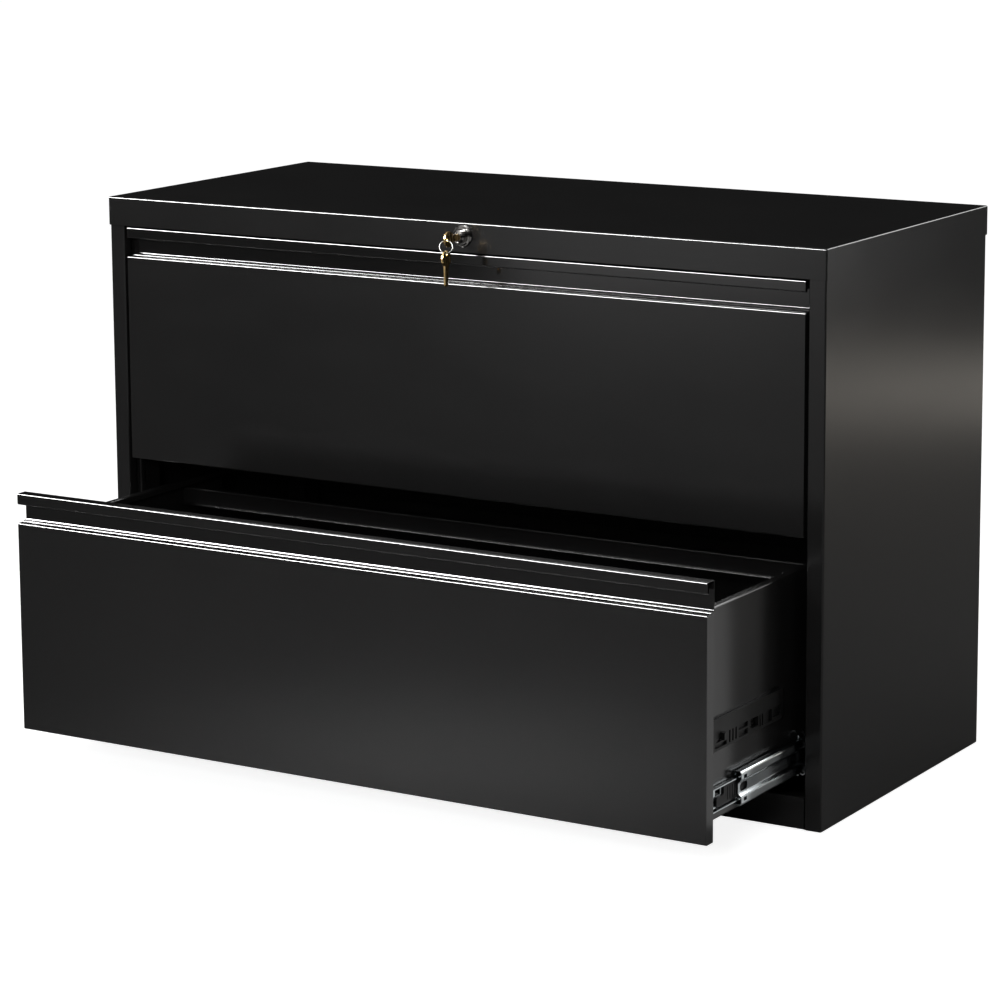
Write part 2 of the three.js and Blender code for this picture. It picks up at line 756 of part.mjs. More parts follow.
const cabinet = new THREE.Group();
const lowerDrawer = drawer('lower', lowerFrontBottom);
lowerDrawer.position.y = -lowerOpen;
cabinet.add(
  carcass(),
  drawer('upper', upperFrontBottom),
  lowerDrawer,
  slides('upper', upperFrontBottom, 0),
  slides('lower', lowerFrontBottom, lowerOpen * middleShare),
  lockWorks(),
);
cabinet.position.y = -footprintMiddle;

export default cabinet;
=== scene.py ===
import json
import math

import bmesh
import bpy
from mathutils import Matrix, Vector


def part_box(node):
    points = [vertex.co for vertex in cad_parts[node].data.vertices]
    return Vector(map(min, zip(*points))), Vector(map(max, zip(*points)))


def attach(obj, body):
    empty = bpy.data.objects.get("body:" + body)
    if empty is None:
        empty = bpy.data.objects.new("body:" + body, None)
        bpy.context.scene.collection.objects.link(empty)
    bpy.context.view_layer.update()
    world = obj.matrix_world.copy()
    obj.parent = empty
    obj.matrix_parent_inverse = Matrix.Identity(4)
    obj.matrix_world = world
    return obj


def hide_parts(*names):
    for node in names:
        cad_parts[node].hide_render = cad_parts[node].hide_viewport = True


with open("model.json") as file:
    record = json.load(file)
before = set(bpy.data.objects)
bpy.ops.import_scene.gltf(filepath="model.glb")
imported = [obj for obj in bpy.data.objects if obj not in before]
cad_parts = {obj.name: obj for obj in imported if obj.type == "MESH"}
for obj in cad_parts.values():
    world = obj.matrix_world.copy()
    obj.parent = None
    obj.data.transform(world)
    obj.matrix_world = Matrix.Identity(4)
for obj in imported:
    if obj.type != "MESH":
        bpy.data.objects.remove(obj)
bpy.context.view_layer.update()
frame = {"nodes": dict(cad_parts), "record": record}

bodyOf = {node: body for body, nodes in frame["record"]["behaviour"]["bodies"].items() for node in nodes}
slotOf = {part["node"]: part["material_slot"] for part in frame["record"]["subparts"]}
mm = 0.001
scene = bpy.context.scene
finishes = {}  # material slot to Blender material
print("frame loaded:", len(frame["nodes"]), "nodes")


# Sizes below are in millimetres, with Y counted back from the plane of the case's front
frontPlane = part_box("left_side_panel")[0].y
slideLook = {"centre": 44.6, "front": 20.0, "middleShare": 0.7}


def newMaterial(name):
    material = bpy.data.materials.new(name)
    material.use_nodes = True
    nodes = material.node_tree.nodes
    return material, nodes, material.node_tree.links, nodes["Principled BSDF"]


def noise(nodes, links, coords, scale, detail=2.0, stretch=(1, 1, 1)):
    mapping = nodes.new("ShaderNodeMapping")
    mapping.inputs["Scale"].default_value = stretch
    links.new(coords.outputs["Object"], mapping.inputs["Vector"])
    texture = nodes.new("ShaderNodeTexNoise")
    texture.inputs["Scale"].default_value = scale
    texture.inputs["Detail"].default_value = detail
    links.new(mapping.outputs["Vector"], texture.inputs["Vector"])
    return texture.outputs["Fac"]


def colourRamp(nodes, links, source, low, high, dark, light):
    ramp = nodes.new("ShaderNodeValToRGB")
    ramp.color_ramp.elements[0].position = low
    ramp.color_ramp.elements[1].position = high
    ramp.color_ramp.elements[0].color = (*dark, 1)
    ramp.color_ramp.elements[1].color = (*light, 1)
    links.new(source, ramp.inputs["Fac"])
    return ramp.outputs["Color"]


noiseBand = {"low": 0.3, "high": 0.7}  # noise seldom leaves this band


def mapped(nodes, links, source, low, high):
    span = nodes.new("ShaderNodeMapRange")
    span.inputs["From Min"].default_value = noiseBand["low"]
    span.inputs["From Max"].default_value = noiseBand["high"]
    span.inputs["To Min"].default_value = low
    span.inputs["To Max"].default_value = high
    links.new(source, span.inputs["Value"])
    return span.outputs["Result"]


def bump(nodes, links, source, shader, strength, distance):
    node = nodes.new("ShaderNodeBump")
    node.inputs["Strength"].default_value = strength
    node.inputs["Distance"].default_value = distance
    links.new(source, node.inputs["Height"])
    links.new(node.outputs["Normal"], shader.inputs["Normal"])


paintLook = {
    "dark": (0.0046, 0.0045, 0.0045), "light": (0.0056, 0.0054, 0.0053),
    "roughLow": 0.20, "roughHigh": 0.215, "specular": 0.5, "cloudScale": 4.0, "smearScale": 9.0,
    "peelScale": 650, "peelStrength": 0.05, "peelDepth": 0.00012, "rubbedShare": 0.55, "rubbedFade": 0.003,
}


def rubbed(nodes, links, coords, rough, height, share):
    split = nodes.new("ShaderNodeSeparateXYZ")
    links.new(coords.outputs["Object"], split.inputs["Vector"])
    fade = nodes.new("ShaderNodeMapRange")
    fade.inputs["From Min"].default_value = height - paintLook["rubbedFade"]
    fade.inputs["From Max"].default_value = height
    fade.inputs["To Min"].default_value = 1.0
    fade.inputs["To Max"].default_value = share
    links.new(split.outputs["Z"], fade.inputs["Value"])
    product = nodes.new("ShaderNodeMath")
    product.operation = "MULTIPLY"
    links.new(rough, product.inputs[0])
    links.new(fade.outputs["Result"], product.inputs[1])
    return product.outputs["Value"]


# Above the height rubbedFrom, fingers have polished the paint
def blackPaint(name="semiGlossBlackPaint", rubbedFrom=None):
    look = paintLook
    material, nodes, links, shader = newMaterial(name)
    coords = nodes.new("ShaderNodeTexCoord")
    clouds = noise(nodes, links, coords, look["cloudScale"], 3)
    shade = colourRamp(nodes, links, clouds, 0.35, 0.65, look["dark"], look["light"])
    links.new(shade, shader.inputs["Base Color"])
    smears = noise(nodes, links, coords, look["smearScale"], 3, (1, 1, 2.4))
    rough = mapped(nodes, links, smears, look["roughLow"], look["roughHigh"])
    if rubbedFrom is not None:
        rough = rubbed(nodes, links, coords, rough, rubbedFrom, look["rubbedShare"])
    links.new(rough, shader.inputs["Roughness"])
    shader.inputs["Specular IOR Level"].default_value = look["specular"]
    peel = noise(nodes, links, coords, look["peelScale"], 1.5)
    bump(nodes, links, peel, shader, look["peelStrength"], look["peelDepth"])
    return material


zincLook = {
    "dark": (0.44, 0.47, 0.49), "light": (0.66, 0.70, 0.71),
    "roughLow": 0.13, "roughHigh": 0.24, "cloudScale": 55.0, "rubScale": 120.0,
    "grainScale": 260, "grainStrength": 0.10, "grainDepth": 0.00015,
}


def zincPlate():
    look = zincLook
    material, nodes, links, shader = newMaterial("brightZincPlate")
    coords = nodes.new("ShaderNodeTexCoord")
    cloud = noise(nodes, links, coords, look["cloudScale"], 4, (1, 0.35, 1))
    shade = colourRamp(nodes, links, cloud, 0.3, 0.72, look["dark"], look["light"])
    links.new(shade, shader.inputs["Base Color"])
    shader.inputs["Metallic"].default_value = 1.0
    rub = noise(nodes, links, coords, look["rubScale"], 3, (1, 0.08, 1))
    links.new(mapped(nodes, links, rub, look["roughLow"], look["roughHigh"]), shader.inputs["Roughness"])
    grain = noise(nodes, links, coords, look["grainScale"], 2, (1, 0.05, 1))
    bump(nodes, links, grain, shader, look["grainStrength"], look["grainDepth"])
    return material


# The lock's nickel colour is darkened as painted shade, standing for the dark surroundings its polished
# faces mirror; the ring wire keeps the lighter plain nickel tone
nickelLookPaintedShade = {
    "dark": (0.34, 0.33, 0.315), "light": (0.50, 0.485, 0.465), "roughLow": 0.06, "roughHigh": 0.13,
    "cloudScale": 160.0, "wipeScale": 420.0, "wipeStrength": 0.08, "wipeDepth": 0.00008,
}
wireLook = {
    **nickelLookPaintedShade,
    "dark": (0.60, 0.60, 0.59), "light": (0.80, 0.80, 0.78), "roughLow": 0.36, "roughHigh": 0.46,
}


def nickelPlate(name, look):
    material, nodes, links, shader = newMaterial(name)
    coords = nodes.new("ShaderNodeTexCoord")
    cloud = noise(nodes, links, coords, look["cloudScale"], 3)
    shade = colourRamp(nodes, links, cloud, 0.3, 0.7, look["dark"], look["light"])
    links.new(shade, shader.inputs["Base Color"])
    shader.inputs["Metallic"].default_value = 1.0
    wipe = noise(nodes, links, coords, look["wipeScale"], 4, (1, 0.2, 1))
    links.new(mapped(nodes, links, wipe, look["roughLow"], look["roughHigh"]), shader.inputs["Roughness"])
    bump(nodes, links, wipe, shader, look["wipeStrength"], look["wipeDepth"])
    return material


brassLook = {
    "dark": (0.46, 0.28, 0.09), "light": (0.80, 0.58, 0.27), "roughLow": 0.16, "roughHigh": 0.34,
    "tarnishScale": 210.0, "scuffScale": 600.0, "scuffStrength": 0.15, "scuffDepth": 0.0001,
}


def keyBrass():
    look = brassLook
    material, nodes, links, shader = newMaterial("wornKeyBrass")
    coords = nodes.new("ShaderNodeTexCoord")
    tarnish = noise(nodes, links, coords, look["tarnishScale"], 4)
    shade = colourRamp(nodes, links, tarnish, 0.3, 0.68, look["dark"], look["light"])
    links.new(shade, shader.inputs["Base Color"])
    shader.inputs["Metallic"].default_value = 1.0
    scuff = noise(nodes, links, coords, look["scuffScale"], 3, (1, 1, 0.1))
    links.new(mapped(nodes, links, scuff, look["roughLow"], look["roughHigh"]), shader.inputs["Roughness"])
    bump(nodes, links, scuff, shader, look["scuffStrength"], look["scuffDepth"])
    return material


plasticLook = {
    "dark": (0.0026, 0.0027, 0.0027), "light": (0.0040, 0.0041, 0.0041),
    "roughLow": 0.34, "roughHigh": 0.46, "specular": 0.22, "flowScale": 30.0,
    "sparkScale": 1500.0, "sparkStrength": 0.35, "sparkDepth": 0.00008,
}


def blackPlastic():
    look = plasticLook
    material, nodes, links, shader = newMaterial("mouldedBlackPlastic")
    coords = nodes.new("ShaderNodeTexCoord")
    flow = noise(nodes, links, coords, look["flowScale"], 3)
    shade = colourRamp(nodes, links, flow, 0.35, 0.65, look["dark"], look["light"])
    links.new(shade, shader.inputs["Base Color"])
    links.new(mapped(nodes, links, flow, look["roughLow"], look["roughHigh"]), shader.inputs["Roughness"])
    shader.inputs["Specular IOR Level"].default_value = look["specular"]
    spark = noise(nodes, links, coords, look["sparkScale"], 1)
    bump(nodes, links, spark, shader, look["sparkStrength"], look["sparkDepth"])
    return material


ballastLook = {
    "dark": (0.035, 0.033, 0.031), "light": (0.085, 0.075, 0.066), "roughLow": 0.6, "roughHigh": 0.85,
    "metallic": 0.6, "crustScale": 22.0, "crustStrength": 0.5, "crustDepth": 0.0006,
}


def ballastIron():
    look = ballastLook
    material, nodes, links, shader = newMaterial("sawnBallastIron")
    coords = nodes.new("ShaderNodeTexCoord")
    crust = noise(nodes, links, coords, look["crustScale"], 6)
    shade = colourRamp(nodes, links, crust, 0.35, 0.7, look["dark"], look["light"])
    links.new(shade, shader.inputs["Base Color"])
    shader.inputs["Metallic"].default_value = look["metallic"]
    links.new(mapped(nodes, links, crust, look["roughLow"], look["roughHigh"]), shader.inputs["Roughness"])
    bump(nodes, links, crust, shader, look["crustStrength"], look["crustDepth"])
    return material


finishes["black_paint"] = blackPaint()
finishes["zinc_plate"] = zincPlate()
finishes["nickel_plate"] = nickelPlate("polishedNickelPlate", nickelLookPaintedShade)
ringWire = nickelPlate("drawnRingWire", wireLook)
finishes["key_brass"] = keyBrass()
finishes["black_plastic"] = blackPlastic()
finishes["ballast_iron"] = ballastIron()
print("finishes made:", len(finishes))


edgeLook = {"segments": 2, "angle": 34, "weight": 70}


def addObject(name, mesh, slot, body, edge=0.2, replaced=()):
    piece = bpy.data.objects.new(name, mesh)
    scene.collection.objects.link(piece)
    mesh.materials.clear()
    mesh.materials.append(finishes[slot])
    for face in mesh.polygons:
        face.use_smooth = True
    if edge:
        softEdge = piece.modifiers.new("softEdge", "BEVEL")
        softEdge.width = edge * mm
        softEdge.segments = edgeLook["segments"]
        softEdge.limit_method = "ANGLE"
        softEdge.angle_limit = math.radians(edgeLook["angle"])
    even = piece.modifiers.new("evenShading", "WEIGHTED_NORMAL")
    even.keep_sharp = True
    even.weight = edgeLook["weight"]
    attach(piece, body)
    if replaced:
        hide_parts(*replaced)
    return piece


def toMesh(bm, name):
    bmesh.ops.recalc_face_normals(bm, faces=bm.faces)
    mesh = bpy.data.meshes.new(name)
    bm.to_mesh(mesh)
    bm.free()
    return mesh


bendRoom = 0.48  # a bend takes less than half of the flat on either side


# A bent sheet's section: its corners rounded, and the same line again one thickness to the left
def bentSection(corners, thickness, inner, steps):
    points = [Vector(corner) for corner in corners]
    line = [points[0]]
    for before, here, after in zip(points, points[1:], points[2:]):
        into, out = here - before, after - here
        turn = math.atan2(into.cross(out), into.dot(out))
        slope = math.tan(abs(turn) / 2)
        radius = inner + thickness if turn > 0 else inner
        reach = min(radius * slope, into.length * bendRoom, out.length * bendRoom)
        start = here - into.normalized() * reach
        side = Vector((-into.y, into.x)).normalized() * math.copysign(1, turn)
        centre = start + side * (reach / slope)
        count = max(2, round(abs(turn) / (math.pi / 2) * steps))
        for k in range(count + 1):
            line.append(centre + Matrix.Rotation(turn * k / count, 2) @ (start - centre))
    line.append(points[-1])
    back = []
    for i, point in enumerate(line):
        into = (point - line[i - 1]).normalized() if i else None
        out = (line[i + 1] - point).normalized() if i < len(line) - 1 else into
        into = into or out
        normal = Vector((-into.y - out.y, into.x + out.x)).normalized()
        back.append(point + normal * (thickness / normal.dot(Vector((-into.y, into.x)))))
    return line + back[::-1]


def runSection(name, section, axis, start, end, flip=1, at=(0, 0, 0)):
    bm = bmesh.new()
    ends = []
    for run in (start, end):
        ring = []
        for point in section:
            spot = Vector((run, point.x, point.y) if axis == "x" else (point.x, point.y, run))
            ring.append(bm.verts.new((
                (spot.x * flip + at[0]) * mm, (spot.y + at[1]) * mm + frontPlane, (spot.z + at[2]) * mm)))
        ends.append(ring)
    count = len(section)
    for i in range(count):
        j = (i + 1) % count
        bm.faces.new((ends[0][i], ends[0][j], ends[1][j], ends[1][i]))
    bm.faces.new(ends[0][::-1])
    bm.faces.new(ends[1])
    return toMesh(bm, name)


def addBlock(bm, low, high):
    made = bmesh.ops.create_cube(bm, size=1)["verts"]
    for vert in made:
        for k in range(3):
            vert.co[k] = low[k] if vert.co[k] < 0 else high[k]


def joinMeshes(name, meshes):
    bm = bmesh.new()
    for mesh in meshes:
        bm.from_mesh(mesh)
    return toMesh(bm, name)


# Drawer fronts: one bent sheet each, with the pull folded in along the top
frontLook = {
    "width": 1008.8, "height": 314.5, "depth": 18.0, "lip": 14.8,
    "ledge": 275.0, "ledgeStep": 9.5, "ledgeRise": 3.8, "frontRise": 0.4,
    "stepHalf": 0.3, "stepFoot": 0.6, "stepHead": 2.0, "rearFoot": 2.2, "rearRun": 1.0,
    "hemDepth": 5, "hemRise": 7, "sheet": 1, "bendSteps": 10, "bendRadius": 1.2,
    "endInset": 0.6, "endLap": 0.4, "endDrop": 1.2,
}
drawers = {
    "upper_drawer": {"bottom": 366.3, "out": 0.0},
    "lower_drawer": {"bottom": 47.6, "out": 246.3},
}


def drawerFront(prefix, bottom, out):
    look = frontLook
    sheet, lip = look["sheet"], look["height"] - look["lip"]
    wall, top = look["depth"] - sheet, look["height"] - sheet
    ledge, step, half = look["ledge"], look["ledgeStep"], look["width"] / 2
    corners = [
        (wall, 0), (0, 0), (0, ledge + look["frontRise"]),
        (step - look["stepHalf"], ledge + look["stepFoot"]),
        (step + look["stepHalf"], ledge + look["stepHead"]),
        (wall - look["rearRun"], ledge + look["rearFoot"]), (wall, ledge + look["ledgeRise"]), (wall, top),
        (sheet, top), (sheet, lip + sheet), (look["hemDepth"], lip + sheet),
        (look["hemDepth"], lip + look["hemRise"]),
    ]
    section = bentSection(corners[::-1], sheet, look["bendRadius"], look["bendSteps"])
    face = runSection(prefix, section, "x", -half, half, at=(0, -out, bottom))
    bm = bmesh.new()
    for x in (-half, half - sheet):
        low = (x * mm, (look["endInset"] - out) * mm + frontPlane, (bottom + look["endInset"]) * mm)
        high = ((x + sheet) * mm, (wall + look["endLap"] - out) * mm + frontPlane,
                (bottom + ledge - look["endDrop"]) * mm)
        addBlock(bm, low, high)
    ends = toMesh(bm, prefix + "Ends")
    whole = joinMeshes(prefix, [face, ends])
    panel = addObject(prefix + "_front_panel", whole, "black_paint", prefix, 0.25, [prefix + "_front"])
    panel.data.materials[0] = blackPaint(prefix + "RubbedPaint", (bottom + ledge) * mm)


for prefix, place in drawers.items():
    drawerFront(prefix, place["bottom"], place["out"])
print("drawer fronts made")


# Carcass sheets with fine bends
carcassLook = {
    "half": 531.9, "depth": 470.1, "stile": 23.0, "stileReturn": 14.0, "rearReturn": 22,
    "sheet": 1.0, "bendRadius": 1.2, "bendSteps": 8,
}


def sidePanel(name, flip):
    look = carcassLook
    inner = look["half"] - look["stile"]
    corners = [
        (inner, look["stileReturn"]), (inner, 0), (look["half"], 0), (look["half"], look["depth"]),
        (look["half"] - look["rearReturn"], look["depth"]),
    ]
    section = bentSection(corners, look["sheet"], look["bendRadius"], look["bendSteps"])
    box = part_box(name)
    mesh = runSection(name, section, "z", box[0].z / mm, box[1].z / mm, flip)
    addObject(name + "_sheet", mesh, "black_paint", "cabinet", 0.2, [name])


sidePanel("left_side_panel", -1)
sidePanel("right_side_panel", 1)


# The cap is a tray turned over, drilled for the lock
capLook = {
    "bend": 2.2, "bendSegments": 7, "sheet": 1.0,
    "holeRadius": 10.7, "drillDepth": 20.0, "drillSides": 48,
}


def topCap():
    look = capLook
    low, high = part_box("top_cap")
    bm = bmesh.new()
    addBlock(bm, low, high)
    floor = [face for face in bm.faces if all(v.co.z < low.z + 1e-5 for v in face.verts)]
    bmesh.ops.delete(bm, geom=floor, context="FACES_ONLY")
    rim = [edge for edge in bm.edges if all(v.co.z > high.z - 1e-5 for v in edge.verts)]
    posts = [edge for edge in bm.edges if abs(edge.verts[0].co.z - edge.verts[1].co.z) > 0.01]
    bmesh.ops.bevel(bm, geom=rim + posts, offset=look["bend"] * mm, segments=look["bendSegments"],
                    profile=0.5, affect="EDGES", clamp_overlap=True)
    cap = bpy.data.objects.new("capShell", toMesh(bm, "topCap"))
    scene.collection.objects.link(cap)
    wall = cap.modifiers.new("wall", "SOLIDIFY")
    wall.thickness = look["sheet"] * mm
    wall.offset = -1
    wall.use_even_offset = True
    lockLow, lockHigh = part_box("lock_housing")
    middle = (lockLow + lockHigh) / 2
    drill = bmesh.new()
    aim = Matrix.Translation((middle.x, low.y, middle.z)) @ Matrix.Rotation(math.pi / 2, 4, "X")
    bmesh.ops.create_cone(drill, cap_ends=True, segments=look["drillSides"], radius1=look["holeRadius"] * mm,
                          radius2=look["holeRadius"] * mm, depth=look["drillDepth"] * mm, matrix=aim)
    drillObject = bpy.data.objects.new("lockDrill", toMesh(drill, "lockDrill"))
    scene.collection.objects.link(drillObject)
    hole = cap.modifiers.new("lockHole", "BOOLEAN")
    hole.object = drillObject
    hole.operation = "DIFFERENCE"
    hole.solver = "EXACT"
    shell = bpy.data.meshes.new_from_object(cap.evaluated_get(bpy.context.evaluated_depsgraph_get()))
    bpy.data.objects.remove(drillObject)
    bpy.data.objects.remove(cap)
    addObject("top_cap_sheet", shell, "black_paint", "cabinet", 0, ["top_cap"])


topCap()
print("carcass sheets made")


# Everything else keeps its solid: flats made whole, cut edges softened
edgeSoftness = {
    "lock_key": 0.35, "spare_key": 0.35, "lock_plunger": 0.25,
    "counterweight": 1.0, "slide": 0.4, "other": 0.15,
}
flatAngle = 0.6  # degrees between faces that count as one flat


def dressed(node):
    bm = bmesh.new()
    bm.from_mesh(frame["nodes"][node].data)
    bmesh.ops.dissolve_limit(bm, angle_limit=math.radians(flatAngle), verts=bm.verts, edges=bm.edges)
    mesh = toMesh(bm, node)
    edge = edgeSoftness["slide"] if "slide" in node else edgeSoftness.get(node, edgeSoftness["other"])
    addObject(node + "_made", mesh, slotOf[node], bodyOf[node], edge, [node])


for node, solid in frame["nodes"].items():
    if node != "key_ring" and not solid.hide_render:
        dressed(node)
print("solids dressed")


# Ball rows: two cages between each pair of slide members, riding with the middle one
ballLook = {
    "line": 496.2, "innerHeight": 17.1, "outerHeight": 23.7, "innerRadius": 2.65, "outerRadius": 2.3,
    "balls": 11, "pitch": 17.0, "start": 31.0, "outerShift": 150, "sides": 14, "rings": 9,
    "stripWide": 6.2, "stripThick": 0.5, "stripOver": 5,
}


def ballRow(bm, place, radius, strip):
    look = ballLook
    x, front, z = place
    for k in range(look["balls"]):
        centre = Vector((x, front + k * look["pitch"], z)) * mm
        spot = Matrix.Translation(centre + Vector((0, frontPlane, 0)))
        bmesh.ops.create_uvsphere(bm, u_segments=look["sides"], v_segments=look["rings"], radius=radius * mm,
                                  matrix=spot)
    if strip:
        half, thick = look["stripWide"] / 2, look["stripThick"] / 2
        rear = front + (look["balls"] - 1) * look["pitch"]
        addBlock(bm, ((x - half) * mm, (front - look["stripOver"]) * mm + frontPlane, (z - thick) * mm),
                 ((x + half) * mm, (rear + look["stripOver"]) * mm + frontPlane, (z + thick) * mm))


def slideBalls(prefix, side, bottom, out):
    look = ballLook
    flip = 1 if side == "right" else -1
    body = f"{prefix}_{side}_slide_middle"
    x, middle = flip * look["line"], bottom + slideLook["centre"]
    front = look["start"] - out * slideLook["middleShare"]
    bm = bmesh.new()
    for end in (-1, 1):
        ballRow(bm, (x, front, middle + end * look["innerHeight"]), look["innerRadius"], True)
        ballRow(bm, (x, front + look["outerShift"], middle + end * look["outerHeight"]),
                look["outerRadius"], False)
    addObject(body + "_balls", toMesh(bm, body), "zinc_plate", body, 0)


for prefix, place in drawers.items():
    for side in ("left", "right"):
        slideBalls(prefix.split("_")[0], side, place["bottom"], place["out"])
print("ball rows made")


# Release levers of the slides: flat plastic tongues with four grip ribs
leverLook = {
    "face": 492.1, "thick": 2.3,
    "outline": [
        (26, -11.6), (78, -11.6), (90, -5), (128, -4), (131, -1), (131, 2), (128, 5), (90, 5), (80, 11.6),
        (44, 11.6), (43, 10.6), (43, 2), (41, 0.6), (27, 0.6), (24.6, -2), (24.6, -10),
    ],
    "ribs": (52, 58, 64, 70), "ribThick": 2, "ribHalf": 8, "ribLow": 494.2, "ribHigh": 494.9,
}


def releaseLever(prefix, side, bottom, out):
    look = leverLook
    flip = 1 if side == "right" else -1
    bm = bmesh.new()
    ends = []
    front, middle = slideLook["front"], bottom + slideLook["centre"]
    for x in (look["face"], look["face"] + look["thick"]):
        ends.append([
            bm.verts.new((flip * x * mm, (y + front - out) * mm + frontPlane, (z + middle) * mm))
            for y, z in look["outline"]])
    count = len(look["outline"])
    for i in range(count):
        bm.faces.new((ends[0][i], ends[0][i - 1], ends[1][i - 1], ends[1][i]))
    bm.faces.new(ends[0])
    bm.faces.new(ends[1][::-1])
    inner, outer = sorted((flip * look["ribLow"], flip * look["ribHigh"]))
    for y in look["ribs"]:
        near = (y + front - out) * mm + frontPlane
        far = (y + look["ribThick"] + front - out) * mm + frontPlane
        addBlock(bm, (inner * mm, near, (middle - look["ribHalf"]) * mm),
                 (outer * mm, far, (middle + look["ribHalf"]) * mm))
    addObject(f"{prefix}_{side}_release_lever", toMesh(bm, "lever"), "black_plastic", prefix, 0.3)


# Rivets of the drawer members and screws of the cabinet members, all with the same round head
headLook = {"rings": 5, "sides": 20}
fixingLook = {
    "webFace": 491.9, "rivets": (112.0, 150.0, 318.0), "rivetRadius": 3.2, "rivetHeight": 0.9,
    "screwFace": 502.7, "screws": (43.0, 217.0, 407.0), "screwRadius": 4.2, "screwHeight": 1.7,
}


def roundHead(bm, place, facing, radius, height):
    turn = Vector(facing).to_track_quat("Z", "Y").to_matrix()
    hoops = []
    for k in range(headLook["rings"]):
        rise = math.pi / 2 * k / headLook["rings"]
        hoop = []
        for i in range(headLook["sides"]):
            around = 2 * math.pi * i / headLook["sides"]
            reach = radius * math.cos(rise)
            point = Vector((reach * math.cos(around), reach * math.sin(around), height * math.sin(rise)))
            hoop.append(bm.verts.new((Vector(place) + turn @ point) * mm))
        hoops.append(hoop)
    for before, after in zip(hoops, hoops[1:]):
        for i in range(headLook["sides"]):
            bm.faces.new((before[i - 1], before[i], after[i], after[i - 1]))
    bm.faces.new(hoops[0][::-1])
    bm.faces.new(hoops[-1])


def slideFixings(prefix, side, bottom, out):
    look = fixingLook
    flip = 1 if side == "right" else -1
    front, middle = slideLook["front"], bottom + slideLook["centre"]
    bm = bmesh.new()
    for y in look["rivets"]:
        place = (flip * look["webFace"], y + front - out + frontPlane / mm, middle)
        roundHead(bm, place, (flip, 0, 0), look["rivetRadius"], look["rivetHeight"])
    addObject(f"{prefix}_{side}_slide_rivets", toMesh(bm, "rivets"), "zinc_plate", prefix, 0)
    bm = bmesh.new()
    for y in look["screws"]:
        place = (flip * look["screwFace"], y + front + frontPlane / mm, middle)
        roundHead(bm, place, (-flip, 0, 0), look["screwRadius"], look["screwHeight"])
    addObject(f"{prefix}_{side}_slide_screws", toMesh(bm, "screws"), "zinc_plate", "cabinet", 0)


for prefix, place in drawers.items():
    for side in ("left", "right"):
        releaseLever(prefix, side, place["bottom"], place["out"])
        slideFixings(prefix, side, place["bottom"], place["out"])
print("slide fittings made")


# Painted rivets along the two side edges of the back panel
panelFixings = {
    "across": 518.0, "levels": (52.0, 214.0, 368.0, 522.0, 672.0), "radius": 3.4, "height": 0.9, "sunk": 0.1,
}


def backRivets():
    look = panelFixings
    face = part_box("back_panel")[1].y / mm - look["sunk"]
    bm = bmesh.new()
    for side in (-1, 1):
        for level in look["levels"]:
            roundHead(bm, (side * look["across"], face, level), (0, 1, 0), look["radius"], look["height"])
    addObject("back_panel_rivets", toMesh(bm, "backRivets"), "black_paint", "cabinet", 0)


backRivets()
print("back rivets made")


# Split key ring: two coils of fine wire, lying in the plane of the plain ring that they replace
ringLook = {
    "radius": 8.2, "wire": 0.42, "coilGap": 0.76, "turns": 2.0, "steps": 112, "sides": 10,
    "turn": 31.0, "lean": 27.0, "climbStart": 0.44, "climbShare": 0.12,
}


def splitRing():
    look = ringLook
    low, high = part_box("key_ring")
    middle = (low + high) / 2
    turn = Matrix.Rotation(math.radians(look["turn"]), 3, "Z")
    tilt = turn @ Matrix.Rotation(-math.radians(look["lean"]), 3, "X")
    bm = bmesh.new()
    hoops = []
    for k in range(look["steps"] + 1):
        share = k / look["steps"]
        angle = 2 * math.pi * look["turns"] * share
        climb = min(max((share - look["climbStart"]) / look["climbShare"], 0), 1)
        level = (climb * climb * (3 - 2 * climb) - 0.5) * look["coilGap"]
        outward = Vector((math.cos(angle), 0, math.sin(angle)))
        centre = outward * look["radius"] + Vector((0, level, 0))
        hoop = []
        for i in range(look["sides"]):
            around = 2 * math.pi * i / look["sides"]
            point = centre + (outward * math.cos(around) + Vector((0, math.sin(around), 0))) * look["wire"]
            hoop.append(bm.verts.new(middle + tilt @ point * mm))
        hoops.append(hoop)
    for before, after in zip(hoops, hoops[1:]):
        for i in range(look["sides"]):
            j = (i + 1) % look["sides"]
            bm.faces.new((before[i], before[j], after[j], after[i]))
    bm.faces.new(hoops[0][::-1])
    bm.faces.new(hoops[-1])
    ring = addObject("split_key_ring", toMesh(bm, "splitRing"), "nickel_plate", "key_ring", 0, ["key_ring"])
    ring.data.materials[0] = ringWire


splitRing()
print("key ring coiled")


# Studio: pale floor and white behind. What metal and paint mirror is dark low down and white overhead
studioLook = {
    "floorColour": 0.62, "floorInMirror": 0.24, "floorGlow": 0.87, "floorHalf": 30, "ambient": 0.32,
    "mirrorLow": 0.013, "mirrorHigh": 1.0, "mirrorFrom": 0.45,
}


def mirrorRay(nodes, links, path):
    either = nodes.new("ShaderNodeMath")
    either.operation = "MAXIMUM"
    links.new(path.outputs["Is Glossy Ray"], either.inputs[0])
    links.new(path.outputs["Is Transmission Ray"], either.inputs[1])
    return either.outputs["Value"]


